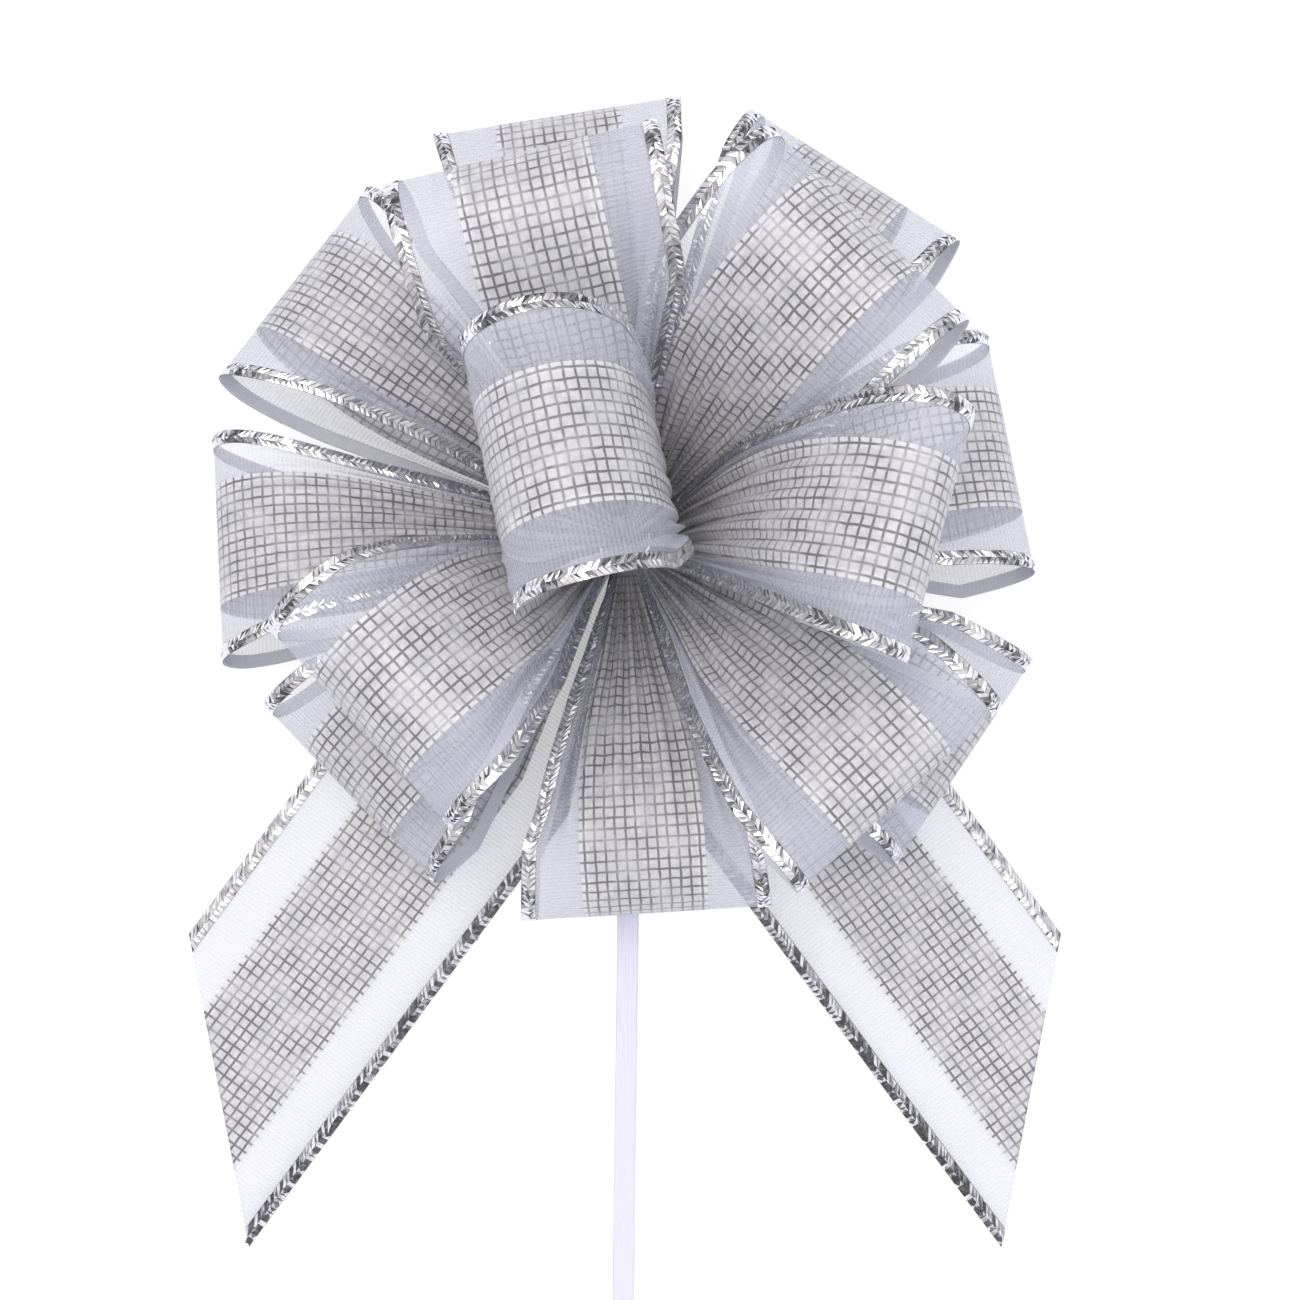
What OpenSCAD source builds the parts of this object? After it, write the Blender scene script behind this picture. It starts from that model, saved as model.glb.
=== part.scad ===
/* [Ribbon] */
// Width of both ribbons, edge to edge
ribbon_w = 50; // [38:1:60]
// Thickness of a ribbon ply as modelled, a little over the real cloth
ply_t = 0.4; // [0.3:0.05:0.8]
// Scale of every loop's length, 1 is the real bow
loop_scale = 1; // [0.85:0.01:1.2]
// Scale of every loop's fullness, 1 is the real bow
full_scale = 1; // [0.8:0.01:1.1]

/* [Waists] */
// Diameter of a waist, where both ribbons are gathered and welded
waist_d = 10; // [8:0.5:14]
// Thickness of one waist
waist_t = 1.75; // [1.5:0.05:2.5]

/* [Pull string] */
// Width of the flat pull string
string_w = 4.5; // [3:0.5:5]
// Thickness of the flat pull string as modelled
string_t = 0.6; // [0.4:0.1:0.8]
// Middle diameter of the coiled spare string
coil_d = 48; // [40:1:60]
// Radial width of the coil's winding
coil_w = 12; // [8:1:14]

/* [Tails] */
// Length of each tail along its outer, shorter edge
tail_outer = 122; // [90:1:150]
// Length of each tail along its inner, longer edge
tail_inner = 168; // [120:1:200]
// Angle of each tail from the pull string
tail_angle = 36.5; // [34:0.5:44]

/* [Hidden] */
// Number of loop pairs threaded on the string, one row each in FRONT and BACK
pairs = 7;
// Clear gap between pieces that move past each other
gap = 0.3;
// Play of the string in its slots
slot_play = 0.2;
waist_r = waist_d / 2;
half_w = ribbon_w / 2;
root_r = waist_r + gap;
// Half the thickness of a loop where it meets its waist
root_half = 0.7;
// Centre height of the string where it lies on the resting plane
lie_z = gap + string_t / 2;
// Centre height of the string where it leaves the stack, above both tails
foot_z = ply_t + gap + string_t / 2;
// Steps around one loop's outline
ring_steps = 36;
// How sharply a loop's wedge eases into its full width
ease = 8;
// A loop that stands up more steeply than this is rooted over the middle of the stack
upright = 70;
// Half-width of a tail where it leaves the stack, and half the angle that it opens at
tail_root = 0.8;
tail_spread = 25;
// Middle of the coil
coil_at = [-30, -196];

// Each loop by pair, lowest first. Columns: direction around the core, tilt up at the waist,
// droop from waist to tip, roll about its own length, length, fullness, spread of its sides
// seen from the core, and a lift of its root above the pair's level.
FRONT = [
    [-86.5, 18, -5, 0, 73, 26, 23, 0.6],
    [12.5, 17, -4, -12, 76, 26, 21, 0],
    [57.5, 14, -4, -8, 82, 26, 17, 0],
    [142, 15, -4, 14, 79, 26, 16, 0],
    [51, 45, -2, -10, 84, 29, 25, 0.8],
    [-44.5, 39, 0, -6, 82, 22, 22, 0.2],
    [-2, 61, -3, -16, 87, 24, 22.5, 0.8],
];
BACK = [
    [99, 18, -5, 0, 82, 26, 17, 0.2],
    [181.5, 17, -4, 14, 78, 26, 15, 0],
    [223, 16, -4, 8, 72, 26, 22, 0],
    [-33.5, 13, -4, -6, 78, 23, 21, 0],
    [217, 50, -4, 8, 75, 29, 25, 0.8],
    [105.5, 44, -2, -4, 82, 29, 25, 0],
    [134, 77, 0, 59, 74, 30, 20, 2.7],
];

// Route of the string's free stretch, from the foot of the core to the coil
ROUTE = [
    [0, -waist_r, foot_z], [0.3, -12, foot_z], [0.6, -26, lie_z], [0.8, -40, lie_z],
    [0.8, -55, lie_z], [0.7, -70, lie_z], [0.6, -85, lie_z], [0.4, -100, lie_z],
    [0.2, -115, lie_z], [0, -130, lie_z], [-0.2, -145, lie_z], [-0.3, -160, lie_z],
    [-0.3, -174, lie_z], [-0.4, -189, lie_z],
];

// Half-thickness of a teardrop of unit length and fullness at turn t, 0 at the waist,
// 180 at the tip; its widest point is about seven tenths of the way out
function drop_n(t) = sin(t) * pow(sin(t / 2), 1.5) / 1.404;
function drop_s(t) = (1 - cos(t)) / 2;

// Closed outline of a loop in its own plane, from the top of its root round the tip and back.
// One row a point: [out from the waist, up, distance along the middle line]. The middle line
// leaves the waist at tilt and bends evenly by droop.
function outline(L, T, tilt, droop) = [
    for (i = [0:ring_steps])
        let (t = 360 * i / ring_steps, up = min(t, 360 - t), side = t <= 180 ? 1 : -1,
             s = L * drop_s(up), n = side * (T * drop_n(up) + root_half * (1 - up / 180)),
             chord = tilt + droop * s / L / 2, here = tilt + droop * s / L)
        [s * cos(chord) - n * sin(here), s * sin(chord) + n * cos(here), s]
];
// The same outline moved inward by one ply, its two root corners moved outward along the loop too
function unit(v) = v / norm(v);
function inward(ring, tilt) = [
    for (i = [0:len(ring) - 1])
        let (last = len(ring) - 1, a = ring[max(i - 1, 0)], b = ring[min(i + 1, last)],
             d = unit([b[0] - a[0], b[1] - a[1]]), off = i == 0 || i == last ? ply_t : 0)
        [ring[i][0] + d[1] * ply_t + off * cos(tilt), ring[i][1] - d[0] * ply_t + off * sin(tilt),
         ring[i][2] + off]
];

// Half-width at distance s along a loop: a wedge, as seen from above, that eases into full width
function half_at(s, row) =
    let (reach = row[1] > upright ? 1 : cos(row[1] + row[2] / 2), wedge = (root_r + s * reach) * tan(row[6]))
    pow(pow(wedge, -ease) + pow(half_w, -ease), -1 / ease);

// Ribbon loop: a closed band of one ply
module band(row, level) {
    az = row[0];
    tilt = row[1];
    outer = outline(row[4] * loop_scale, row[5] * full_scale, tilt, row[2]);
    inner = inward(outer, tilt);
    c = len(outer);
    // How far the tilted and rolled root leans back towards the waist
    lean = (root_half + half_at(0, row) * abs(sin(row[3]))) * sin(tilt);
    points = concat(
        [for (p = outer) for (side = [1, -1]) [p[0], side * half_at(p[2], row), p[1]]],
        [for (p = inner) for (side = [1, -1]) [p[0], side * half_at(p[2], row), p[1]]]
    );
    // Corner j of ring i: 0 and 1 are the outer skin's two edges, 2 and 3 the inner skin's
    function at(i, j) = (j > 1 ? 2 * c + j - 2 : j) + 2 * (i % c);
    faces = [
        for (i = [0:c - 1])
            for (f = [
                [at(i, 0), at(i + 1, 0), at(i + 1, 1), at(i, 1)],
                [at(i, 2), at(i, 3), at(i + 1, 3), at(i + 1, 2)],
                [at(i, 0), at(i, 2), at(i + 1, 2), at(i + 1, 0)],
                [at(i, 1), at(i + 1, 1), at(i + 1, 3), at(i, 3)]
            ]) f
    ];
    rotate([0, 0, az])
        translate([tilt > upright ? 0 : root_r + lean, 0, level])
            rotate([0, -tilt, 0]) rotate([row[3], 0, 0]) rotate([0, tilt, 0])
                polyhedron(points, faces, convexity = 6);
}

function level_of(k, row) = waist_t * k + row[7];

module loop_front(k) {
    color("gainsboro") band(FRONT[k - 1], level_of(k, FRONT[k - 1]));
}

module loop_back(k) {
    color("lightsteelblue") band(BACK[k - 1], level_of(k, BACK[k - 1]));
}

// One cut end of a ribbon, flat on the resting plane, side is 1 for the right tail
module tail(side) {
    neck = half_w / tan(tail_spread);
    rotate([0, 0, -90 + side * tail_angle])
        linear_extrude(ply_t)
            polygon([
                [root_r, -side * tail_root], [neck, -side * half_w], [tail_inner, -side * half_w],
                [tail_outer, side * half_w], [neck, side * half_w], [root_r, side * tail_root]
            ]);
}

module tail_front() { color("whitesmoke") tail(1); }

module tail_back() { color("whitesmoke") tail(-1); }

// Gathered and welded waist of both ribbons, slotted for the string. The last one is closed
// above, since the string ends in it. The first one is closed below, and a channel leads the
// string out of its side.
module waist(k) {
    slot_w = string_w + 2 * slot_play;
    slot_t = string_t + 2 * slot_play;
    sill = foot_z - string_t / 2 - slot_play;
    low = k == 1 ? sill : -1;
    high = k == pairs + 1 ? waist_t / 2 + slot_play : waist_t + 1;
    color("silver")
        translate([0, 0, waist_t * (k - 1)])
            difference() {
                cylinder(h = waist_t, d = waist_d, $fn = 48);
                translate([-slot_w / 2, -slot_t / 2, low]) cube([slot_w, slot_t, high - low]);
                if (k == 1)
                    translate([-slot_w / 2, -waist_d, sill])
                        cube([slot_w, waist_d + slot_t / 2, slot_t]);
            }
}

// String inside the stack, with the foot that leads out below the first waist
module string_core() {
    top = waist_t * pairs + waist_t / 2;
    foot = foot_z - string_t / 2;
    color("white") {
        translate([-string_w / 2, -string_t / 2, foot]) cube([string_w, string_t, top - foot]);
        translate([-string_w / 2, -waist_r, foot]) cube([string_w, waist_r, string_t]);
    }
}

// Free stretch of the string, an eight-sided flat tube along the route
module pull_string() {
    sides = 8;
    c = len(ROUTE);
    flat = [for (j = [0:sides - 1])
        let (a = 22.5 + 45 * j) [cos(a) * string_w / 2 / cos(22.5), sin(a) * string_t / 2 / sin(67.5)]];
    points = [for (p = ROUTE) for (q = flat) [p[0] + q[0], p[1], p[2] + q[1]]];
    faces = concat(
        [[for (j = [0:sides - 1]) j]],
        [[for (j = [sides - 1:-1:0]) (c - 1) * sides + j]],
        [for (i = [0:c - 2]) for (j = [0:sides - 1])
            let (a = i * sides + j, b = i * sides + (j + 1) % sides)
            [a, a + sides, b + sides, b]]
    );
    color("white") polyhedron(points, faces, convexity = 2);
}

// Outer shape of the coiled spare string, wound on edge
module string_coil() {
    color("ghostwhite")
        translate([coil_at[0], coil_at[1], 0])
            rotate_extrude($fn = 72)
                translate([coil_d / 2 - coil_w / 2, gap]) square([coil_w, string_w]);
}

for (k = [1:pairs]) {
    loop_front(k);
    loop_back(k);
}
tail_front();
tail_back();
for (k = [1:pairs + 1])
    waist(k);
string_core();
pull_string();
string_coil();
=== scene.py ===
# %% [markdown]
# # A pull bow of sheer plaid ribbon
# A pull bow is made from two long ribbons laid on each other and welded together at every
# waist. A flat string runs through the welds. When it is pulled, the waists slide together into
# a short stack and every stretch of ribbon between two waists springs out as a loop. Here each
# loop is one cloth piece with its own braided edges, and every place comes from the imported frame.

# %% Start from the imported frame
import math

import bpy
import numpy as np
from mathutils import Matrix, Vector


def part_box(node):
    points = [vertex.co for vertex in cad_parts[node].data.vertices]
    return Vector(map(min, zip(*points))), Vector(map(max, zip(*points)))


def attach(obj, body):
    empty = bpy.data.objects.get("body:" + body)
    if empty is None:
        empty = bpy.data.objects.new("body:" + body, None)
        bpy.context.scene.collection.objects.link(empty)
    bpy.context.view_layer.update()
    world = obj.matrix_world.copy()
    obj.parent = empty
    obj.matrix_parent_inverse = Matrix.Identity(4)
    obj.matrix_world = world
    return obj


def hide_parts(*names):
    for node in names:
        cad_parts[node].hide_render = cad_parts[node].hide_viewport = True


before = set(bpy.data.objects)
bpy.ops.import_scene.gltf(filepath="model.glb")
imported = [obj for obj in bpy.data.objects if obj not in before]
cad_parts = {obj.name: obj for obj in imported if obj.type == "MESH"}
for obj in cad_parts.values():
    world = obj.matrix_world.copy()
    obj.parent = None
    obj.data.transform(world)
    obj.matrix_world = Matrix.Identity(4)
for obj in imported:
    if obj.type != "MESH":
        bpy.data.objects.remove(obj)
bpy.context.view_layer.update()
MM = 0.001
rng = np.random.default_rng(11)

# %% [markdown]
# ## The camera
# The bow lies on its back and is seen from straight above. A square frame and a 50 mm lens at
# a little under 400 mm give the strong perspective in which the upright loop looks larger than
# the ones that lie flat.

# %% Look straight down at the core
camera = bpy.data.objects.new("camera", bpy.data.cameras.new("camera"))
camera.location = (0.0053, -0.023, 0.384)
camera.rotation_euler = (0, 0, 0)
camera.data.lens = 50
camera.data.sensor_width = 36
camera.data.clip_start = 0.01
bpy.context.collection.objects.link(camera)
bpy.context.scene.camera = camera

# %% [markdown]
# ## Node helpers
# Every finish is built from shader nodes. Three small helpers keep the node code short: one
# adds a node and links or sets its inputs, one does arithmetic, and one starts a material with
# its Principled BSDF.

# %% Helpers for nodes and groups
def add(tree, kind, at=None, **sockets):
    """Add a node, set its properties from at, and link or set the sockets by name or number."""
    node = tree.nodes.new(kind)
    for name, value in (at or {}).items():
        setattr(node, name, value)
    for name, value in sockets.items():
        key = int(name[1:]) if name[0] == "_" and name[1:].isdigit() else name.replace("_", " ")
        plug(tree, value, node.inputs[key])
    return node


def plug(tree, value, socket):
    """Link an output to a socket, or set the socket's own value."""
    if isinstance(value, bpy.types.NodeSocket):
        tree.links.new(value, socket)
    else:
        socket.default_value = value


def calc(tree, operation, a, b=0.0, c=None):
    """One Math node; its output."""
    node = add(tree, "ShaderNodeMath", {"operation": operation}, _0=a, _1=b)
    if c is not None:
        plug(tree, c, node.inputs[2])
    return node.outputs[0]


def mix_colour(tree, factor, a, b):
    """One colour Mix node; its output."""
    node = tree.nodes.new("ShaderNodeMix")
    node.data_type = "RGBA"
    plug(tree, factor, node.inputs[0])
    plug(tree, a, node.inputs[6])
    plug(tree, b, node.inputs[7])
    return node.outputs[2]


def new_group(name, inputs, outputs):
    """A shader node group with named inputs (name, default) and outputs (name, kind). A default
    of None makes a vector input."""
    group = bpy.data.node_groups.new(name, "ShaderNodeTree")
    for label, default in inputs:
        kind = "NodeSocketVector" if default is None else "NodeSocketFloat"
        socket = group.interface.new_socket(name=label, in_out="INPUT", socket_type=kind)
        if default is not None:
            socket.default_value = default
    for label, kind in outputs:
        group.interface.new_socket(name=label, in_out="OUTPUT", socket_type="NodeSocket" + kind)
    inlet = group.nodes.new("NodeGroupInput")
    outlet = group.nodes.new("NodeGroupOutput")
    return group, inlet.outputs, outlet.inputs


def use_group(tree, group, **sockets):
    """Place a group in a material."""
    node = tree.nodes.new("ShaderNodeGroup")
    node.node_tree = group
    for name, value in sockets.items():
        plug(tree, value, node.inputs[name.replace("_", " ")])
    return node.outputs


def new_material(name, roughness=0.5, **constants):
    """A material with its Principled BSDF; constants are set on the shader's own sockets."""
    material = bpy.data.materials.new(name)
    material.use_nodes = True
    tree = material.node_tree
    shader = tree.nodes["Principled BSDF"]
    shader.inputs["Roughness"].default_value = roughness
    for label, value in constants.items():
        shader.inputs[label.replace("_", " ")].default_value = value
    return material, tree, shader.inputs


# %% [markdown]
# ## The ribbon's own map
# Weave follows the ribbon and not the room, so each cloth carries a UV map in which U runs
# along the ribbon and V across it. One UV unit is 100 mm, and V is 0.5 on the middle line.
# Every group below turns that map back into millimetres.

# %% Millimetres along and across the ribbon
UV_NAME = "Ribbon"
UV_MM = 100.0
ribbon_map, g_in, g_out = new_group(
    "Ribbon millimetres", [], [("Along", "Float"), ("Across", "Float")]
)
uv = add(ribbon_map, "ShaderNodeUVMap", {"uv_map": UV_NAME}).outputs[0]
split = add(ribbon_map, "ShaderNodeSeparateXYZ", _0=uv).outputs
plug(ribbon_map, calc(ribbon_map, "MULTIPLY", split[0], UV_MM), g_out["Along"])
plug(ribbon_map, calc(ribbon_map, "MULTIPLY_ADD", split[1], UV_MM, -UV_MM / 2), g_out["Across"])
print("group:", ribbon_map.name)

# %% [markdown]
# ## Plaid weave
# The middle half of the ribbon is a satin grid. Fine dark yarns cross every two millimetres and
# leave pale square cells between them. The group measures the distance to the nearest yarn both
# ways and puts out how much yarn there is, a tint that differs from cell to cell, and a height.

# %% The plaid group
def yarn_lines(tree, position, pitch, width, wobble):
    """1 on a yarn and 0 between yarns, for yarns every pitch along position."""
    cells = calc(tree, "DIVIDE", calc(tree, "ADD", position, wobble), pitch)
    off = calc(tree, "ABSOLUTE", calc(tree, "SUBTRACT", calc(tree, "FRACT", cells), 0.5))
    reach = calc(tree, "MULTIPLY", off, pitch)
    soft = add(tree, "ShaderNodeMapRange", {"interpolation_type": "SMOOTHSTEP"}, _0=reach)
    plug(tree, calc(tree, "MULTIPLY", width, 0.25), soft.inputs[1])
    plug(tree, calc(tree, "MULTIPLY", width, 0.85), soft.inputs[2])
    plug(tree, 1.0, soft.inputs[3])
    plug(tree, 0.0, soft.inputs[4])
    return soft.outputs[0], calc(tree, "FLOOR", cells)


plaid, g_in, g_out = new_group(
    "Plaid weave",
    [("Along", 0.0), ("Across", 0.0), ("Pitch", 2.1), ("Yarn", 0.4)],
    [("Yarns", "Float"), ("Weft", "Float"), ("Cell", "Float"), ("Height", "Float")],
)
place = add(plaid, "ShaderNodeCombineXYZ", _0=g_in["Along"], _1=g_in["Across"]).outputs[0]
drift = add(plaid, "ShaderNodeTexNoise", Vector=place, Scale=0.35, Detail=2.0).outputs[0]
wobble = calc(plaid, "MULTIPLY_ADD", drift, 0.5, -0.25)
weft, row_no = yarn_lines(plaid, g_in["Along"], g_in["Pitch"], g_in["Yarn"], wobble)
warp, column_no = yarn_lines(plaid, g_in["Across"], g_in["Pitch"], g_in["Yarn"], wobble)
fade = add(plaid, "ShaderNodeTexNoise", Vector=place, Scale=0.16, Detail=3.0).outputs[0]
strength = calc(plaid, "MULTIPLY_ADD", fade, 2.4, -0.35)
plug(plaid, weft, g_out["Weft"])
both = calc(plaid, "MAXIMUM", calc(plaid, "MULTIPLY", weft, 0.9), warp)
plug(plaid, calc(plaid, "MINIMUM", calc(plaid, "MULTIPLY", both, strength), 1.0), g_out["Yarns"])
cell_at = add(plaid, "ShaderNodeCombineXYZ", _0=row_no, _1=column_no).outputs[0]
tint = add(plaid, "ShaderNodeTexWhiteNoise", {"noise_dimensions": "2D"}, Vector=cell_at).outputs[0]
plug(plaid, tint, g_out["Cell"])
thread = add(plaid, "ShaderNodeTexWave", {"bands_direction": "Y"}, Vector=place, Scale=1.1).outputs[1]
plug(plaid, calc(plaid, "MULTIPLY_ADD", thread, 0.25, both), g_out["Height"])
print("group:", plaid.name)

# %% [markdown]
# ## Organza weave
# The sides of the ribbon are organza, a net of very fine stiff threads that lets light through.
# The ribs run across the ribbon, a little under a millimetre apart, and finer warp threads cross
# them. The group puts out how much thread there is at a point, which a material turns into its
# opacity and its bump, and a slow cloud that keeps the net from looking printed.

# %% The organza group
organza, g_in, g_out = new_group(
    "Organza weave",
    [("Along", 0.0), ("Across", 0.0), ("Rib", 0.85), ("Warp", 0.55)],
    [("Thread", "Float"), ("Cloud", "Float")],
)


def thread_wave(tree, position, pitch, share):
    """A wave from 0 to twice share, one for every pitch along position."""
    turns = calc(tree, "DIVIDE", calc(tree, "MULTIPLY", position, math.tau), pitch)
    return calc(tree, "MULTIPLY_ADD", calc(tree, "SINE", turns), share, share)


rib = thread_wave(organza, g_in["Along"], g_in["Rib"], 0.5)
warp = thread_wave(organza, g_in["Across"], g_in["Warp"], 0.35)
net = calc(organza, "MAXIMUM", rib, warp)
place = add(organza, "ShaderNodeCombineXYZ", _0=g_in["Along"], _1=g_in["Across"]).outputs[0]
cloud = add(organza, "ShaderNodeTexNoise", Vector=place, Scale=0.12, Detail=4.0, Roughness=0.6)
plug(organza, net, g_out["Thread"])
plug(organza, cloud.outputs[0], g_out["Cloud"])
print("group:", organza.name)

# %% [markdown]
# ## Zones across the ribbon
# The same cloth changes across its width: plaid in the middle, organza beside it, and a woven
# selvedge under each braid. One group turns the distance from the middle line into masks, so
# the face and the back of the ribbon share the same borders. The plaid also has a satin border,
# and a fringe where its weft yarns run out into the organza.

# %% The zone group
HALF_W = 25.0
EDGE_W = 3.0
PLAID_HALF = 12.6
FRINGE_W = 1.3
zones, g_in, g_out = new_group(
    "Ribbon zones", [("Across", 0.0)],
    [("Plaid", "Float"), ("Selvedge", "Float"), ("Border", "Float"), ("Fringe", "Float")],
)
out = calc(zones, "ABSOLUTE", g_in["Across"])
plug(zones, calc(zones, "LESS_THAN", out, PLAID_HALF), g_out["Plaid"])
plug(zones, calc(zones, "GREATER_THAN", out, HALF_W - EDGE_W), g_out["Selvedge"])
border = calc(zones, "ABSOLUTE", calc(zones, "SUBTRACT", out, PLAID_HALF - 0.9))
plug(zones, calc(zones, "LESS_THAN", border, 0.8), g_out["Border"])
fringe = calc(zones, "DIVIDE", calc(zones, "SUBTRACT", PLAID_HALF + FRINGE_W, out), FRINGE_W)
fringe = add(zones, "ShaderNodeClamp", _0=calc(zones, "MULTIPLY", fringe, 0.75)).outputs[0]
plug(zones, fringe, g_out["Fringe"])
print("group:", zones.name)

# %% [markdown]
# ## The ribbon's face and back
# Both sides use the same groups with their own values. The face is pale satin between dark
# yarns. The back is more lilac and matter, and its yarns are fainter. Its cells and selvedge are
# also painted lighter than the cloth is, as painted light for daylight that shines through the
# thin ribbon into the loops. Organza is see-through: its opacity follows its threads, and a
# little light also passes between the yarns of the plaid.

# %% Two cloth materials
SATIN = (0.86, 0.86, 0.87, 1)


def cloth_material(name, cell, cell_2, yarn, sheer, selvedge, yarn_w, opacity, roughness, **constants):
    """One side of the ribbon. Colours are linear RGBA, opacity is that of the organza."""
    material, tree, shader = new_material(name, roughness, **constants)
    at = use_group(tree, ribbon_map)
    band = use_group(tree, zones, Across=at["Across"])
    grid = use_group(tree, plaid, Along=at["Along"], Across=at["Across"], Yarn=yarn_w)
    net = use_group(tree, organza, Along=at["Along"], Across=at["Across"])
    cells = mix_colour(tree, grid["Cell"], cell, cell_2)
    cells = mix_colour(tree, calc(tree, "MULTIPLY", band["Border"], 0.45), cells, SATIN)
    woven = mix_colour(tree, grid["Yarns"], cells, yarn)
    veil = mix_colour(tree, net["Cloud"], sheer, tuple(0.8 * c for c in sheer[:3]) + (1,))
    stray = calc(tree, "MULTIPLY", grid["Weft"], band["Fringe"])
    veil = mix_colour(tree, calc(tree, "MULTIPLY", stray, 0.6), veil, yarn)
    cloth = mix_colour(tree, band["Plaid"], veil, woven)
    cloth = mix_colour(tree, band["Selvedge"], cloth, selvedge)
    plug(tree, cloth, shader["Base Color"])
    thin = calc(tree, "MULTIPLY", calc(tree, "MULTIPLY_ADD", net["Thread"], 0.5, 0.75), opacity)
    thin = calc(tree, "MAXIMUM", thin, calc(tree, "MULTIPLY", stray, 0.35))
    solid = calc(tree, "MAXIMUM", band["Plaid"], band["Selvedge"])
    gaps = calc(tree, "MULTIPLY", calc(tree, "SUBTRACT", 1.0, grid["Yarns"]), 0.24)
    gaps = calc(tree, "MULTIPLY", gaps, calc(tree, "SUBTRACT", 1.0, band["Selvedge"]))
    solid = calc(tree, "SUBTRACT", solid, gaps)
    plug(tree, calc(tree, "MAXIMUM", thin, solid), shader["Alpha"])
    height = add(tree, "ShaderNodeMix", _0=band["Plaid"], _2=net["Thread"], _3=grid["Height"]).outputs[0]
    bump = add(tree, "ShaderNodeBump", Strength=0.35, Distance=0.00012, Height=height)
    plug(tree, bump.outputs[0], shader["Normal"])
    return material


ribbon_face = cloth_material(
    "ribbon_face",
    cell=(0.72, 0.71, 0.705, 1),
    cell_2=(0.61, 0.61, 0.625, 1),
    yarn=(0.17, 0.16, 0.175, 1),
    sheer=(0.75, 0.76, 0.84, 1),
    selvedge=(0.13, 0.13, 0.15, 1),
    yarn_w=0.42,
    opacity=0.27,
    roughness=0.36,
    Specular_IOR_Level=0.55,
    Sheen_Weight=0.15,
)
# The back's cell and selvedge colours are lilac cloth made paler than it is: painted light for the glow
# of light passing through the ribbon into the loops.
ribbon_back = cloth_material(
    "ribbon_back",
    cell=(0.88, 0.86, 0.91, 1),
    cell_2=(0.80, 0.79, 0.84, 1),
    yarn=(0.40, 0.39, 0.43, 1),
    sheer=(0.75, 0.76, 0.84, 1),
    selvedge=(0.72, 0.73, 0.77, 1),
    yarn_w=0.4,
    opacity=0.23,
    roughness=0.6,
    Specular_IOR_Level=0.35,
)
print("cloth:", ribbon_face.name, ribbon_back.name)

# %% [markdown]
# ## Silver braid and pull string
# The braid is metallised film, so each little strand is a tiny mirror: bright where it faces a
# lamp and nearly black beside it. That comes from real facets, and the material only adds a
# fine crinkle. The pull string is matt white polypropylene tape with lengthwise fibres.

# %% Braid and string materials
braid_silver, tree, shader = new_material("braid_silver", 0.2, Metallic=1.0)
spot = add(tree, "ShaderNodeTexCoord").outputs["Object"]
grain = add(tree, "ShaderNodeTexNoise", Vector=spot, Scale=900.0, Detail=2.0).outputs[0]
plug(tree, mix_colour(tree, grain, (0.74, 0.74, 0.77, 1), (0.97, 0.97, 0.98, 1)), shader["Base Color"])
plug(tree, calc(tree, "MULTIPLY_ADD", grain, 0.3, 0.08), shader["Roughness"])

string_white, tree, shader = new_material("string_white", 0.55, Specular_IOR_Level=0.4)
at = use_group(tree, ribbon_map)
fibre = calc(tree, "SINE", calc(tree, "MULTIPLY", at["Across"], math.tau / 0.45))
stretched = calc(tree, "MULTIPLY", at["Along"], 0.05)
place = add(tree, "ShaderNodeCombineXYZ", _0=stretched, _1=at["Across"]).outputs[0]
streak = add(tree, "ShaderNodeTexNoise", Vector=place, Scale=2.2, Detail=3.0).outputs[0]
plug(tree, mix_colour(tree, streak, (0.67, 0.66, 0.77, 1), (0.82, 0.81, 0.90, 1)), shader["Base Color"])
bump = add(tree, "ShaderNodeBump", Strength=0.4, Distance=0.0001, Height=fibre)
plug(tree, bump.outputs[0], shader["Normal"])
print("trim:", braid_silver.name, string_white.name)

# %% [markdown]
# ## Thin solids from a grid
# Ribbon and tape have two sides and a real thickness. This helper takes a grid of points, moves
# it half a thickness each way along the surface, and closes the rim, so each cloth is one
# watertight sheet whose face and back can have different materials.

# %% Grid to thin solid
def grid_normals(points):
    """Unit normals of a grid of points, rows x columns x 3."""
    down = np.gradient(points, axis=0)
    across = np.gradient(points, axis=1)
    normal = np.cross(down, across)
    return normal / np.maximum(np.linalg.norm(normal, axis=2, keepdims=True), 1e-12)


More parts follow.
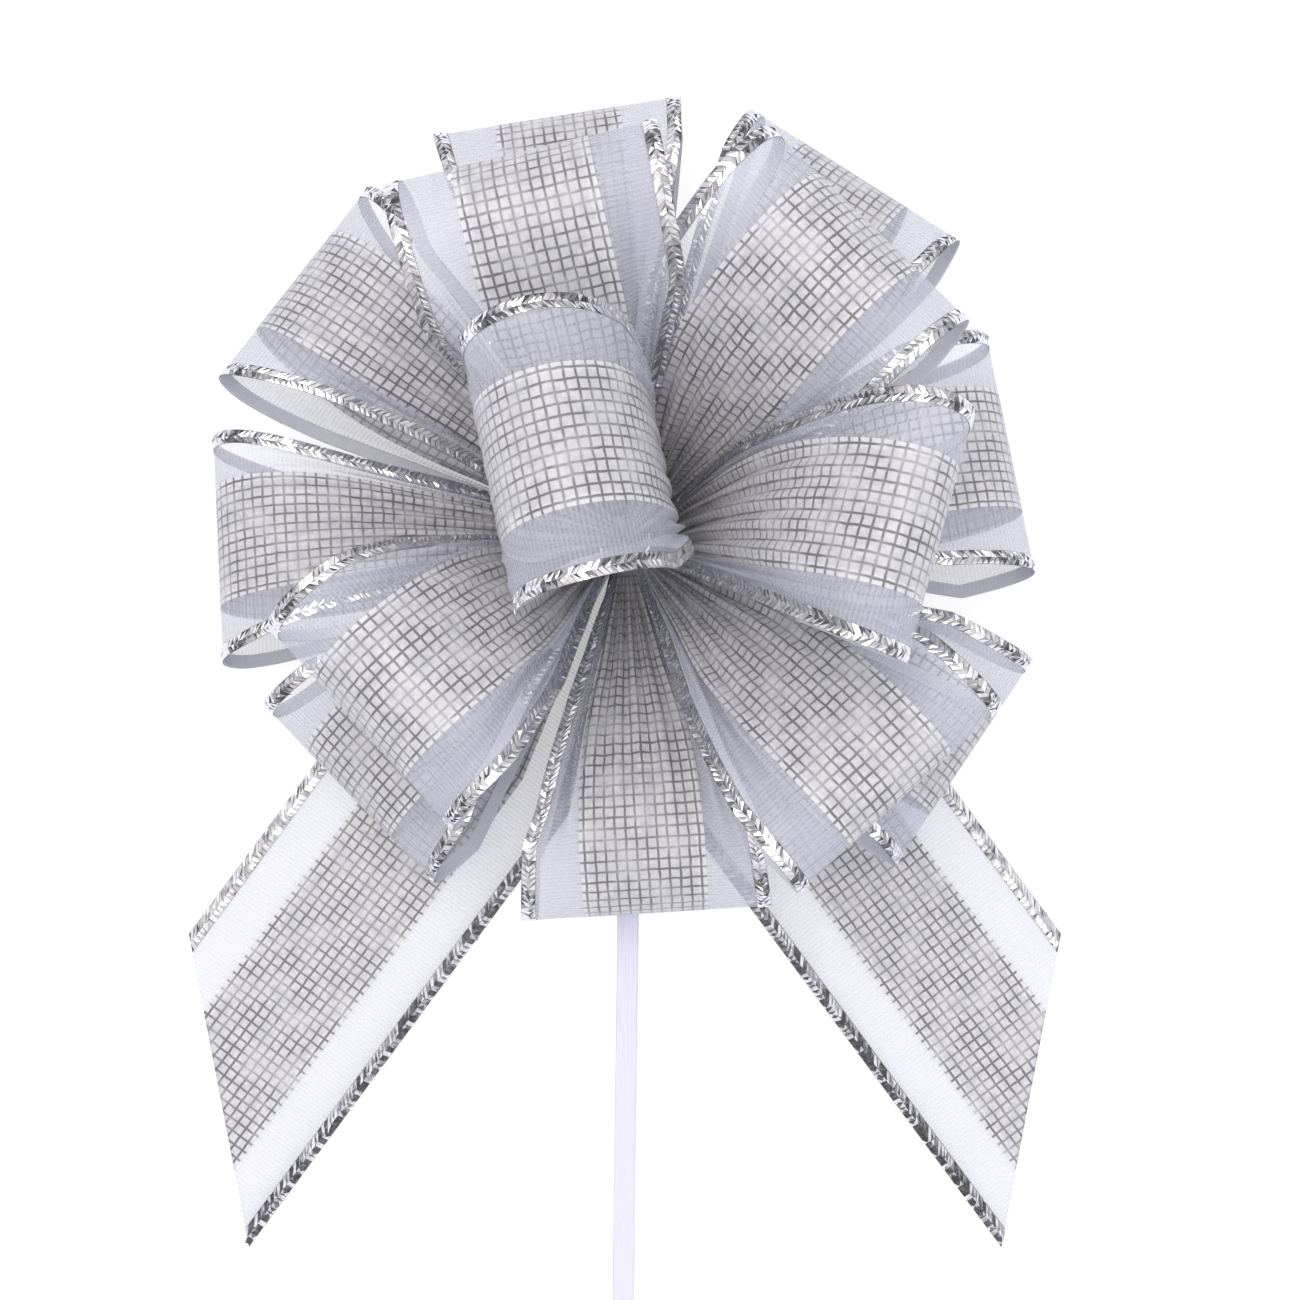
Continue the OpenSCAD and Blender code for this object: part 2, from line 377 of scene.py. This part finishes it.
def thin_solid(name, points, flat, thickness, materials):
    """Close a grid into a thin solid. flat holds each point's (along, across) in millimetres.
    The first material is on the side that the grid's normals point to."""
    rows, columns = points.shape[:2]
    offset = grid_normals(points) * thickness / 2
    vertices = np.concatenate([(points + offset).reshape(-1, 3), (points - offset).reshape(-1, 3)])
    index = np.arange(rows * columns).reshape(rows, columns)
    low = index + rows * columns
    a, b, c, d = index[:-1, :-1], index[1:, :-1], index[1:, 1:], index[:-1, 1:]
    face = np.stack([a, b, c, d], -1).reshape(-1, 4)
    back = np.stack([a, d, c, b], -1).reshape(-1, 4) + rows * columns
    rim = []
    for top, under in ((index[:, 0], low[:, 0]), (index[::-1, -1], low[::-1, -1]),
                       (index[-1, :], low[-1, :]), (index[0, ::-1], low[0, ::-1])):
        rim.append(np.stack([top[:-1], under[:-1], under[1:], top[1:]], -1))
    faces = np.concatenate([face, back] + rim)
    mesh = bpy.data.meshes.new(name)
    mesh.from_pydata(vertices.tolist(), [], faces.tolist())
    for material in materials:
        mesh.materials.append(material)
    side = np.zeros(len(faces), dtype=np.int32)
    side[len(face):len(face) + len(back)] = min(1, len(materials) - 1)
    mesh.polygons.foreach_set("material_index", side)
    mesh.polygons.foreach_set("use_smooth", np.full(len(faces), True))
    layer = mesh.uv_layers.new(name=UV_NAME)
    corner = np.empty(len(mesh.loops), dtype=np.int32)
    mesh.loops.foreach_get("vertex_index", corner)
    uvs = np.concatenate([flat.reshape(-1, 2)] * 2)[corner] / UV_MM + np.array([0, 0.5])
    layer.data.foreach_set("uv", uvs.astype(np.float32).ravel())
    mesh.update()
    piece = bpy.data.objects.new(name, mesh)
    bpy.context.collection.objects.link(piece)
    return piece


# %% [markdown]
# ## The pull string
# The string leaves the foot of the stack, runs straight down between the tails and has its
# spare length wound into a flat round coil. The tape lies flat along the straight stretch and
# turns onto its edge for the coil, where each turn lies beside the last.

# %% Route of the string
STRING_W = 4.5
STRING_T = 0.25
TURN_PITCH = 1.7
ROUTE = [
    (0, -5, 1.0), (0.3, -12, 0.9), (0.6, -26, 0.4), (0.8, -40, 0.25), (0.8, -55, 0.25),
    (0.7, -70, 0.25), (0.6, -85, 0.25), (0.4, -100, 0.25), (0.2, -115, 0.25), (0, -130, 0.25),
    (-0.2, -145, 0.3), (-0.3, -160, 0.5),
]
coil_low, coil_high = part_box("string_coil")
coil_x = (coil_low[0] + coil_high[0]) / 2 / MM
coil_y = (coil_low[1] + coil_high[1]) / 2 / MM
coil_outer = (coil_high[0] - coil_low[0]) / 2 / MM - 0.4
COIL_TURNS = 6.6
COIL_LIFT = STRING_W / 2 + 0.35


def string_path():
    """Points of the string in millimetres and how far it has turned onto its edge, 0 to 1."""
    free = np.array(ROUTE, float)
    rise = np.linspace(0, 1, 9)[1:]
    join = np.array([[coil_x + coil_outer, coil_y, COIL_LIFT]])
    last = free[-1]
    entry = last + (join - last) * rise[:, None]
    entry[:, 2] = last[2] + (join[0, 2] - last[2]) * (3 * rise**2 - 2 * rise**3)
    angle = -np.linspace(0, math.tau * COIL_TURNS, int(COIL_TURNS * 30) + 1)[1:]
    radius = coil_outer + TURN_PITCH * angle / math.tau
    coil = np.stack([coil_x + radius * np.cos(angle), coil_y + radius * np.sin(angle),
                     np.full(len(angle), COIL_LIFT)], -1)
    points = np.concatenate([free, entry, coil])
    on_edge = np.concatenate([np.zeros(len(free)), 3 * rise**2 - 2 * rise**3, np.ones(len(coil))])
    return points, on_edge


path, on_edge = string_path()


# %% Sweep the flat tape along its route
def tape(name, path, on_edge, width, thickness, material):
    """A flat tape along path, lying flat where on_edge is 0 and standing where it is 1."""
    tangent = np.gradient(path, axis=0)
    tangent /= np.linalg.norm(tangent, axis=1, keepdims=True)
    level = np.cross(np.array([0, 0, 1.0]), tangent)
    level /= np.linalg.norm(level, axis=1, keepdims=True)
    up = np.cross(tangent, level)
    tilt = on_edge * math.pi / 2
    side = level * np.cos(tilt)[:, None] + up * np.sin(tilt)[:, None]
    over = np.cross(tangent, side)
    across = np.linspace(-width / 2, width / 2, 13)
    crease = 0.07 * np.exp(-(((across + 0.5) / 0.35) ** 2)) + 0.03 * np.cos(across * 5)
    points = path[:, None, :] + side[:, None, :] * across[None, :, None]
    points = points + over[:, None, :] * crease[None, :, None]
    along = np.concatenate([[0], np.cumsum(np.linalg.norm(np.diff(path, axis=0), axis=1))])
    flat = np.stack(np.meshgrid(along, across, indexing="ij"), -1)
    return thin_solid(name, points * MM, flat, thickness * MM, [material])


pull_string = tape("pull_string_tape", path, on_edge, STRING_W, STRING_T, string_white)
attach(pull_string, "core")
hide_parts("pull_string", "string_coil")

# %% [markdown]
# ## Measure each loop in the frame
# A loop is known by its root at the waist, its tip, the line across its tip and its fullness.
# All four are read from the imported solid, so the cloth goes exactly where the design says.

# %% Read a loop's root, tip and width from its solid
def node_points(node):
    """Vertices of a node in millimetres."""
    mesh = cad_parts[node].data
    points = np.empty(len(mesh.vertices) * 3)
    mesh.vertices.foreach_get("co", points)
    return points.reshape(-1, 3) / MM


def measure_loop(node):
    """Axes and sizes of one loop in millimetres."""
    points = node_points(node)
    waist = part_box("waist_" + node.split("_")[1])
    near = np.array([0, 0, waist[1][2] / MM])
    away = np.linalg.norm(points - near, axis=1)
    root = points[np.argsort(away)[:8]].mean(axis=0)
    for _ in range(4):
        away = np.linalg.norm(points - root, axis=1)
        first = points[np.argmax(away)]
        apart = np.linalg.norm(points - first, axis=1) > 0.8 * 2 * HALF_W
        second = points[apart][np.argmax(away[apart])]
        tip = (first + second) / 2
        out = (tip - root) / np.linalg.norm(tip - root)
        across = first - second
        across -= out * (across @ out)
        across /= np.linalg.norm(across)
        up = np.cross(out, across)
        back = points[(points - tip) @ out < ((points - tip) @ out).min() + 2.0] - root
        for axis in (across, up):
            reach = back @ axis
            root = root + axis * (reach.max() + reach.min()) / 2
    if up[2] < -0.05 or (abs(up[2]) <= 0.3 and up[0] < 0):
        across, up = -across, -up
    local = points - root
    fullness = (local @ up).max() - (local @ up).min()
    along = local @ out
    reach = np.round(along, 0)
    marks = np.unique(reach)
    half = np.array([np.abs(local[reach == m] @ across).max() for m in marks])
    half = np.maximum.accumulate(half)
    return {"node": node, "root": root, "tip": tip, "out": out, "across": across, "up": up,
            "length": float(np.linalg.norm(tip - root)), "fullness": float(fullness),
            "marks": marks, "half": half}


LOOPS = [f"loop_{k}_{side}" for k in range(1, 8) for side in ("front", "back")]
measured = {node: measure_loop(node) for node in LOOPS}
for m in measured.values():
    print(m["node"], "length", round(m["length"], 1), "fullness", round(m["fullness"], 1),
          "half-width", round(float(m["half"].max()), 1))

# %% [markdown]
# ## The shape of a ribbon loop
# Seen from its side a loop is a teardrop: two layers pinched together at the waist, fullest two
# thirds of the way out, and a round tip. Seen from above it is gathered to a point at the waist
# and opens to its full width. The plaid is woven tighter and keeps its width, so the soft
# organza beside it takes up most of the gathers as pleats that run out of the waist. The braid
# stiffens the very edge, so the pleats stop where it begins. A curve keeps every cloth a
# millimetre above the table.

# %% Outline of a loop
ROOT_HALF = 0.7
FULLEST = 1.404
ROWS = 112
COLUMNS = 81


def teardrop(length, fullness, rows):
    """Evenly spaced points round a teardrop: distance out, height, and ribbon length so far."""
    turn = np.linspace(0, math.tau, 1400)
    half = np.minimum(turn, math.tau - turn)
    out = length * (1 - np.cos(half)) / 2
    side = np.where(turn <= math.pi, 1.0, -1.0)
    swell = fullness * np.sin(half) * np.sin(half / 2) ** 1.5 / FULLEST
    high = side * (swell + ROOT_HALF * (1 - half / math.pi))
    step = np.hypot(np.diff(out), np.diff(high))
    run = np.concatenate([[0], np.cumsum(step)])
    even = np.linspace(0, run[-1], rows)
    return np.interp(even, run, out), np.interp(even, run, high), even


# %% Ribbon grid with gathers, pleats and a little life
PLEAT = 5.4
DROOP = math.radians(-4)
RESTING = 1.0
INSIDE = 0.6
CENTRE = HALF_W / 2
OPEN_OUT = math.tan(math.radians(21))


def ribbon_grid(m, across_mm):
    """Points of one loop's ribbon for the given distances across it, and its flat map."""
    out, high, run = teardrop(m["length"], m["fullness"] - INSIDE, ROWS)
    half = np.minimum(np.interp(out, m["marks"], m["half"]) - 0.15, HALF_W)
    near = np.exp(-(((out[:, None] - out[None, :]) / 4) ** 2))
    half = (near * half[None, :]).sum(axis=1) / near.sum(axis=1)
    open_out = 1.9 + out * OPEN_OUT
    half = np.maximum(half, np.minimum(half + 3.0, np.minimum(open_out, HALF_W)))
    middle = np.sin(math.pi * out / m["length"]) ** 0.8
    half = half * (1 - np.where(high > 0, m["draw_in"], 0.02) * middle)
    edge_half = np.minimum(0.94 * EDGE_W, 0.25 * half)
    plaid_half = (CENTRE**-6 + (0.84 * (half - edge_half)) ** -6) ** (-1 / 6)
    sheer_half = half - edge_half - plaid_half
    v = across_mm[None, :]
    stiff = HALF_W - EDGE_W - 0.01
    crest = np.clip(v, -stiff, stiff)
    parts = [(0, CENTRE, plaid_half), (CENTRE, HALF_W - EDGE_W, sheer_half),
             (HALF_W - EDGE_W, HALF_W, edge_half)]
    side = np.zeros((len(out), v.shape[1]))
    squeeze = np.ones((len(out), v.shape[1]))
    for start, stop, width in parts:
        share = width / (stop - start)
        side += np.clip(np.abs(v) - start, 0, stop - start) * share[:, None]
        inside = (np.abs(crest) >= start) & (np.abs(crest) <= stop)
        squeeze = np.where(inside, np.clip(share, 0.1, 1)[:, None], squeeze)
    side *= np.sign(v)
    pleat = PLEAT / 4 * np.sqrt(1 - squeeze**2) * np.where(np.abs(v) < CENTRE, 0.75, 1.0)
    room = np.clip(out / 14, 0.12, 1)
    calm = np.clip((m["length"] - out) / (0.35 * m["length"]), 0, 1) ** 1.2
    lift = pleat * room[:, None] * calm[:, None]
    sway = 0.5 * np.sin(out / 17 + m["phase"])[:, None]
    lift = lift * np.sin(math.tau * crest / PLEAT + m["phase"] + sway)
    edge = (np.abs(v) / HALF_W) ** 3
    t = out[:, None] / m["length"]
    flutter = 0.5 * np.sin(math.tau * run[:, None] / m["flutter"] + m["phase"] * 2 + np.sign(v))
    flutter = flutter * edge * np.clip(3 * t * (1 - t) + 0.15, 0, 1)
    curl = m["curl"] * edge * t * (1 - t) * 4 * 0.8
    angle = DROOP * (out / m["length"] - 1) / 2
    here = DROOP * (out / m["length"] - 0.5)
    rise = high[:, None] + lift + flutter + curl
    x = (out * np.cos(angle))[:, None] - rise * np.sin(here)[:, None]
    z = (out * np.sin(angle))[:, None] + rise * np.cos(here)[:, None]
    points = m["root"] + x[..., None] * m["out"] + side[..., None] * m["across"]
    points = points + z[..., None] * m["up"]
    above = points[..., 2] - RESTING
    points[..., 2] = RESTING + (above + np.sqrt(above**2 + 0.6)) / 2
    flat = np.stack(np.broadcast_arrays(run[:, None] + m["start"], v), -1)
    return points, flat


def cloth_area(points):
    """Area of a grid of points in square millimetres."""
    one = np.cross(points[1:, :-1] - points[:-1, :-1], points[1:, 1:] - points[:-1, :-1])
    two = np.cross(points[1:, 1:] - points[:-1, :-1], points[:-1, 1:] - points[:-1, :-1])
    return (np.linalg.norm(one, axis=2).sum() + np.linalg.norm(two, axis=2).sum()) / 2


# %% Settle each loop's own character
for m in measured.values():
    m["phase"] = float(rng.uniform(0, math.tau))
    m["flutter"] = float(rng.uniform(26, 44))
    m["curl"] = float(rng.uniform(-0.8, 0.8))
    low_tier = m["node"].split("_")[1] in "1234"
    m["draw_in"] = float(rng.uniform(0.10, 0.17) if low_tier else rng.uniform(0.05, 0.09))
    m["start"] = float(rng.uniform(0, 60))

# %% [markdown]
# ## Braided edges
# Each edge of the ribbon carries a braid of flat silver strands that cross in a herringbone.
# A strand is modelled as a low pointed facet with its own small tilt, because the tilt is what
# makes braid glitter. The facets sit on the ribbon's outer side, which is where they show.

# %% Lay a herringbone of facets along an edge
STRAND = 1.15
COVER = 0.92 * STRAND
SKIN = 0.11


def braid(lines, normals, lean_over=0.0):
    """Facets between an inner and an outer line of points, both rows x 3, in millimetres.
    lean_over rolls every strand towards the outer line, as a turned edge does."""
    inner, outer = lines
    step = np.linalg.norm(np.diff(outer, axis=0), axis=1)
    run = np.concatenate([[0], np.cumsum(step)])
    count = max(4, int(run[-1] / STRAND))
    at = np.arange(count) * run[-1] / count

    def on(line, at):
        return np.stack([np.interp(at, run, line[:, k]) for k in range(3)], -1)

    vertices, faces = [], []
    for half in (0, 1):
        lean = 0.9 * STRAND
        outside = 0.02 if half == 0 else 0.98
        corners = []
        shifts = ((outside, 0.0), (0.5, lean), (0.5, lean + COVER), (outside, COVER))
        for share, shift in shifts:
            here = np.clip(at + shift - lean / 2, 0, run[-1])
            corners.append(on(inner, here) * (1 - share) + on(outer, here) * share)
        normal = on(normals, at)
        centre = sum(corners) / 4
        tilt = rng.normal(0, 0.3, (count, 2))
        along = corners[3] - corners[0]
        sideways = corners[1] - corners[0]
        peak = centre + normal * rng.uniform(0.04, 0.36, (count, 1))
        peak = peak + along * tilt[:, :1] + sideways * tilt[:, 1:]
        side, middle = SKIN + (lean_over if half == 0 else 0.0), SKIN + lean_over / 2
        rise = [side, middle, middle, side]
        base = [c + normal * r for c, r in zip(corners, rise)]
        peak = peak + normal * sum(rise) / 4
        start = sum(len(block) for block in vertices)
        block = np.stack(base + [peak], 1).reshape(-1, 3)
        vertices.append(block)
        number = start + 5 * np.arange(count)[:, None]
        order = [(0, 1, 4), (1, 2, 4), (2, 3, 4), (3, 0, 4), (3, 2, 1, 0)]
        if half == 1:
            order = [tuple(reversed(f)) for f in order]
        for f in order:
            faces.extend((number + np.array(f)[None, :]).tolist())
    return np.concatenate(vertices), faces


def braid_piece(name, parts):
    """One object from several blocks of (vertices, faces)."""
    vertices, faces, start = [], [], 0
    for block, tris in parts:
        vertices.append(block)
        faces.extend([[i + start for i in f] for f in tris])
        start += len(block)
    mesh = bpy.data.meshes.new(name)
    mesh.from_pydata((np.concatenate(vertices) * MM).tolist(), [], faces)
    mesh.materials.append(braid_silver)
    mesh.update()
    piece = bpy.data.objects.new(name, mesh)
    bpy.context.collection.objects.link(piece)
    return piece


# %% [markdown]
# ## Make the loops
# Each loop becomes a cloth and a pair of braids on the same body. The cloth is 50 mm ribbon
# gathered at the waist, and its true cut length is printed.

# %% Fourteen loops
PLY = 0.16
across_mm = np.linspace(-HALF_W, HALF_W, COLUMNS)


def add_braids(name, points, leans=(0.0, 0.0)):
    """Braids along both edges of a ribbon grid."""
    share = EDGE_W / (2 * HALF_W) * (COLUMNS - 1)
    normals = grid_normals(points)
    parts = []
    for edge, step, lean_over in ((0, 1, leans[0]), (COLUMNS - 1, -1, leans[1])):
        a = edge + step * int(share)
        b = edge + step * (int(share) + 1)
        w = share - int(share)
        inner = points[:, a] * (1 - w) + points[:, b] * w
        block, faces = braid((inner, points[:, edge]), normals[:, edge], lean_over)
        if step == 1:
            faces = [list(reversed(f)) for f in faces]
        parts.append((block, faces))
    return braid_piece(name, parts)


for node, m in measured.items():
    points, flat = ribbon_grid(m, across_mm)
    middle = points.mean(axis=(0, 1))
    normal = grid_normals(points)
    if float(((points - middle) * normal).sum()) < 0:
        points, flat = points[:, ::-1], flat[:, ::-1]
    cloth = thin_solid("ribbon_" + node, points * MM, flat, PLY * MM, [ribbon_face, ribbon_back])
    edges = add_braids("braid_" + node, points)
    for piece in (cloth, edges):
        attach(piece, node)
    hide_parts(node)
    cut = float(flat[..., 0].max() - flat[..., 0].min()) * MM
    share = cloth_area(points) * MM * MM / (2 * HALF_W * MM * cut)
    print(node, "ribbon cut", round(cut * 1000), "mm, cloth", round(share, 2), "of it")

# %% [markdown]
# ## The tails
# The two cut ends lie flat, gathered at the waist and cut on the slant. Their braids lie with
# one side up, and the cloth has a few shallow waves where it leaves the loops.

# %% Two tails
def tail_grid(node):
    """A flat tail from its solid: its axis, root, full width and slanted end."""
    points = node_points(node)
    away = np.linalg.norm(points[:, :2], axis=1)
    root = points[away < away.min() + 1].mean(axis=0)
    far = points[np.argmax(away)]
    top = points[:, 2].max()
    flat_points = points[np.abs(points[:, 2] - top) < 0.01][:, :2]
    angles = np.radians(np.arange(180, 360, 0.25))
    best = None
    for angle in angles:
        out = np.array([math.cos(angle), math.sin(angle)])
        side = np.array([-out[1], out[0]])
        spread = flat_points @ side
        if best is None or spread.max() - spread.min() < best[0]:
            centre = (spread.max() + spread.min()) / 2
            best = (spread.max() - spread.min(), out, side, centre)
    _, out, side, centre = best
    reach = flat_points @ out
    spread = flat_points @ side - centre
    left = reach[spread > HALF_W - 1].max()
    right = reach[spread < -HALF_W + 1].max()
    neck = reach[np.abs(spread) > HALF_W - 1].min()
    start = reach.min()
    return out, side, centre, start, neck, left, right


for node in ("tail_front", "tail_back"):
    out, side, centre, start, neck, left, right = tail_grid(node)
    share = np.linspace(0, 1, 130)
    v = across_mm[None, :]
    end = left + (right - left) * (HALF_W - v) / (2 * HALF_W)
    reach = start + share[:, None] * (end - start)
    half = 0.8 + (HALF_W - 0.8) * np.clip((reach - start) / (neck - start), 0, 1)
    half = np.minimum(half, HALF_W) - 0.1
    squeeze = np.clip(half / HALF_W, 0.05, 1)
    pleat = np.clip(1 - squeeze, 0, 1) * 0.9 * np.clip((reach - start) / 10, 0, 1)
    wave = 0.16 * np.sin(reach / 15 + (1.3 if node == "tail_front" else 0)) + 0.16
    z = 0.3 + wave + pleat * (1 + np.sin(math.tau * v / PLEAT))
    x = v * squeeze
    points = np.stack(
        [out[0] * reach + side[0] * (x + centre), out[1] * reach + side[1] * (x + centre), z], -1
    )
    flat = np.stack(np.broadcast_arrays(reach, v), -1)
    if grid_normals(points)[..., 2].mean() < 0:
        points, flat = points[:, ::-1], flat[:, ::-1]
    cloth = thin_solid("ribbon_" + node, points * MM, flat, PLY * MM, [ribbon_face, ribbon_back])
    long_first = np.linalg.norm(points[-1, 0]) > np.linalg.norm(points[-1, -1])
    edges = add_braids("braid_" + node, points, (1.9, 0.0) if long_first else (0.0, 1.9))
    for piece in (cloth, edges):
        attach(piece, node)
    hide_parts(node)
    print(node, "cut", round(float(left)), "and", round(float(right)), "mm")

# %% [markdown]
# ## The waists
# A waist is both ribbons gathered into a bundle of pleats and welded flat. Its rim is scalloped
# by the pleats, and it sits where the frame has a plain disc.

# %% Eight gathered waists
waist_cloth, tree, shader = new_material("waist_cloth", 0.6, Sheen_Weight=0.1)
spot = add(tree, "ShaderNodeTexCoord").outputs["Object"]
noise = add(tree, "ShaderNodeTexNoise", Vector=spot, Scale=500.0, Detail=3.0).outputs[0]
plug(tree, mix_colour(tree, noise, (0.33, 0.33, 0.38, 1), (0.52, 0.52, 0.57, 1)), shader["Base Color"])
bump = add(tree, "ShaderNodeBump", Strength=0.5, Distance=0.0002, Height=noise)
plug(tree, bump.outputs[0], shader["Normal"])


def gathered_waist(node):
    """A scalloped ring of pleats around the string's slot."""
    low, high = (np.array(c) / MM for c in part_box(node))
    radius = (high[0] - low[0]) / 2
    around = np.linspace(0, math.tau, 145)[:-1]
    pleats = 1 + 0.05 * np.sin(around * 18 + rng.uniform(0, math.tau)) - 0.05
    slot_x, slot_y = 2.5, 0.55
    vertices, faces = [], []
    rings = [(0.0, low[2]), (0.62, low[2]), (0.94, low[2] + 0.05), (1.0, (low[2] + high[2]) / 2),
             (0.94, high[2] - 0.05), (0.62, high[2] - 0.12), (0.0, high[2] - 0.12)]
    for share, z in rings:
        hole_x = slot_x * np.sign(np.cos(around)) * np.minimum(1, np.abs(np.cos(around)) * 1.6)
        hole_y = slot_y * np.sign(np.sin(around)) * np.minimum(1, np.abs(np.sin(around)) * 1.6)
        x = hole_x * (1 - share) + radius * pleats * np.cos(around) * share
        y = hole_y * (1 - share) + radius * pleats * np.sin(around) * share
        vertices.append(np.stack([x, y, np.full(len(around), z)], -1))
    count = len(around)
    for i in range(len(rings)):
        j = (i + 1) % len(rings)
        for k in range(count):
            n = (k + 1) % count
            faces.append((i * count + k, i * count + n, j * count + n, j * count + k))
    mesh = bpy.data.meshes.new("gathered_" + node)
    mesh.from_pydata((np.concatenate(vertices) * MM).tolist(), [], faces)
    mesh.materials.append(waist_cloth)
    mesh.polygons.foreach_set("use_smooth", np.full(len(faces), True))
    mesh.update()
    piece = bpy.data.objects.new("gathered_" + node, mesh)
    bpy.context.collection.objects.link(piece)
    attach(piece, "core")
    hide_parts(node)


WAISTS = [f"waist_{k}" for k in range(1, 9)]
for node in WAISTS:
    gathered_waist(node)
print("waists:", len(WAISTS))

# %% String inside the stack
core_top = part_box("string_core")[1][2] / MM
foot = [(0, y, 1.0) for y in (-4.98, -3.5, -2.0)]
turn = [(0, -0.8, 1.1), (0, -0.25, 1.5), (0, -0.05, 2.2)]
climb = np.array(foot + turn + [(0, 0, z) for z in np.linspace(3.2, core_top - 0.1, 8)])
across_string = np.linspace(-STRING_W / 2, STRING_W / 2, 9)
points = climb[:, None, :] + np.array([1.0, 0, 0]) * across_string[None, :, None]
along = np.concatenate([[0], np.cumsum(np.linalg.norm(np.diff(climb, axis=0), axis=1))])
flat = np.stack(np.meshgrid(along, across_string, indexing="ij"), -1)
string_core = thin_solid("string_in_stack", points * MM, flat, STRING_T * MM, [string_white])
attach(string_core, "core")
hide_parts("string_core")

# %% [markdown]
# ## Floor and light
# The bow lies on white paper under soft daylight. The standard view keeps white paper white.
# Braid needs something dark to reflect as well as something bright, so what it mirrors is a
# ramp of dark and bright bands from the floor up, while plain cloth sees an even pale room.

# %% White floor
bpy.context.scene.view_settings.view_transform = "Standard"
bpy.ops.mesh.primitive_plane_add(size=4.0, location=(0, 0, -0.0003))
floor = bpy.context.object
floor.name = "floor"
paper = bpy.data.materials.new("paper")
paper.use_nodes = True
tree = paper.node_tree
tree.nodes["Principled BSDF"].inputs["Base Color"].default_value = (0.92, 0.92, 0.95, 1)
tree.nodes["Principled BSDF"].inputs["Roughness"].default_value = 1.0
seen = add(tree, "ShaderNodeLightPath").outputs["Is Camera Ray"]
glow = add(tree, "ShaderNodeEmission", Color=(1, 1, 1, 1), Strength=0.77).outputs[0]
pale = add(tree, "ShaderNodeBsdfDiffuse", Color=(0.3, 0.3, 0.31, 1)).outputs[0]
white = add(tree, "ShaderNodeAddShader", _0=glow, _1=pale).outputs[0]
both = add(tree, "ShaderNodeMixShader", _0=seen, _1=tree.nodes["Principled BSDF"].outputs[0], _2=white)
plug(tree, both.outputs[0], tree.nodes["Material Output"].inputs[0])
floor.data.materials.append(paper)
print("floor:", paper.name)

# %% Daylight room
world = bpy.data.worlds.new("room")
bpy.context.scene.world = world
world.use_nodes = True
tree = world.node_tree
way = add(tree, "ShaderNodeTexCoord").outputs["Generated"]
part = add(tree, "ShaderNodeSeparateXYZ", _0=way).outputs
ramp = add(tree, "ShaderNodeValToRGB", _0=part[2])
stops = ramp.color_ramp.elements
stops[0].position, stops[0].color = 0.0, (0.12, 0.11, 0.12, 1)
stops[1].position, stops[1].color = 0.52, (1.0, 1.0, 1.1, 1)
BANDS = ((0.30, 0.06), (0.44, 0.05), (0.60, 0.15), (0.70, 1.2),
         (0.80, 0.5), (0.90, 1.3), (0.955, 1.1), (0.98, 0.04))
for position, level in BANDS:
    stop = stops.new(position)
    stop.color = (level, 0.97 * level, level, 1)
rays = add(tree, "ShaderNodeLightPath").outputs
room = mix_colour(tree, rays["Is Glossy Ray"], (1.06, 1.06, 1.17, 1), ramp.outputs[0])
room = mix_colour(tree, rays["Is Camera Ray"], room, (1.2, 1.2, 1.2, 1))
plug(tree, room, tree.nodes["Background"].inputs[0])
tree.nodes["Background"].inputs[1].default_value = 0.85


def softbox(name, place, size, power, colour):
    """A square area lamp aimed at the bow."""
    lamp = bpy.data.lights.new(name, "AREA")
    lamp.size = size
    lamp.energy = power
    lamp.color = colour
    holder = bpy.data.objects.new(name, lamp)
    holder.location = place
    aim = Vector((0, 0, 0.03)) - Vector(place)
    holder.rotation_euler = aim.to_track_quat("-Z", "Y").to_euler()
    bpy.context.collection.objects.link(holder)


softbox("key", (-0.25, 0.35, 1.5), 0.9, 9.5, (1.0, 0.96, 0.88))
softbox("fill", (0.9, -0.4, 0.9), 0.9, 1.5, (0.93, 0.94, 1.0))
print("lamps:", len(bpy.data.lights))
